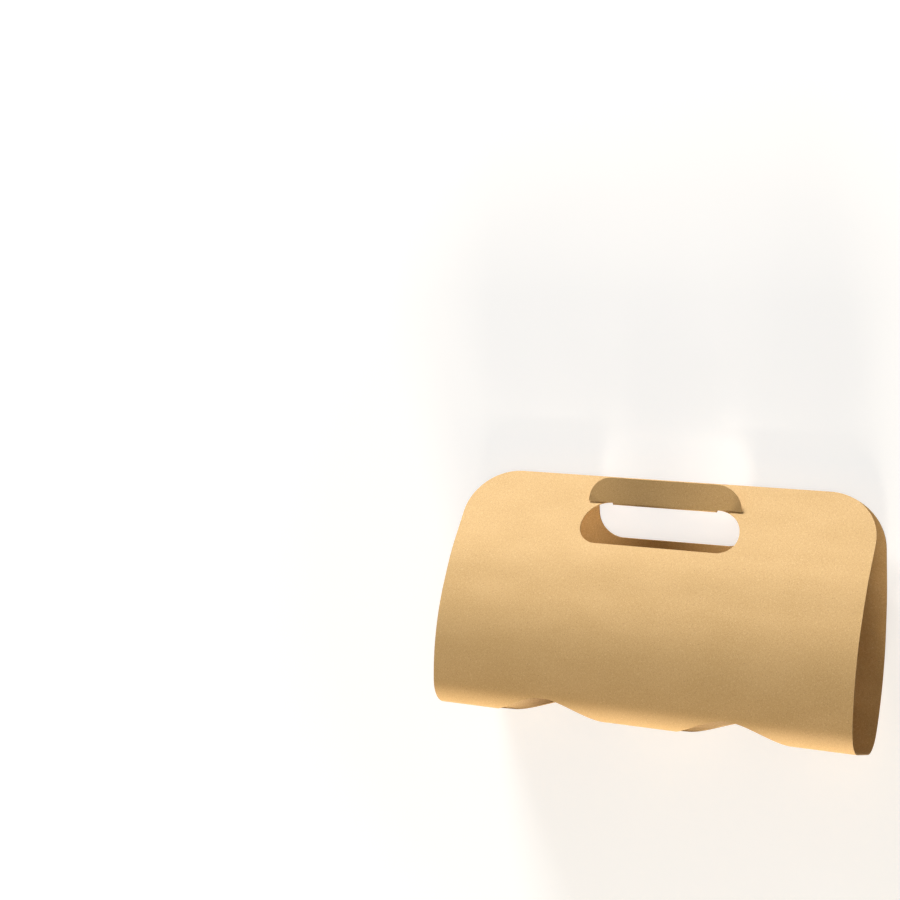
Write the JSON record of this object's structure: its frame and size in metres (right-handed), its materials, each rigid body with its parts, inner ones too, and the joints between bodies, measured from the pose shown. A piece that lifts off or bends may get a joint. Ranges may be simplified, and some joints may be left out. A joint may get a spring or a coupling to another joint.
{
  "type": "cup carrier",
  "caption": "Kraft card sheet bent into a loop, with oval cup holes in its rounded bottom, a hand hole near its top and a flap that locks the loop.",
  "frame": {"origin": "centre of the bounding box's base, on the surface that the loop lies on", "axes": "+X along the loop's open ends, +Y towards the handle, +Z out of the front panel's side, up from the surface"},
  "size_m": [0.26, 0.1498, 0.0746],
  "materials": {
    "kraft_card": "matt uncoated kraft board"
  },
  "bodies": {
    "root": {"cup_carrier": "kraft_card"}
  },
  "joints": []
}
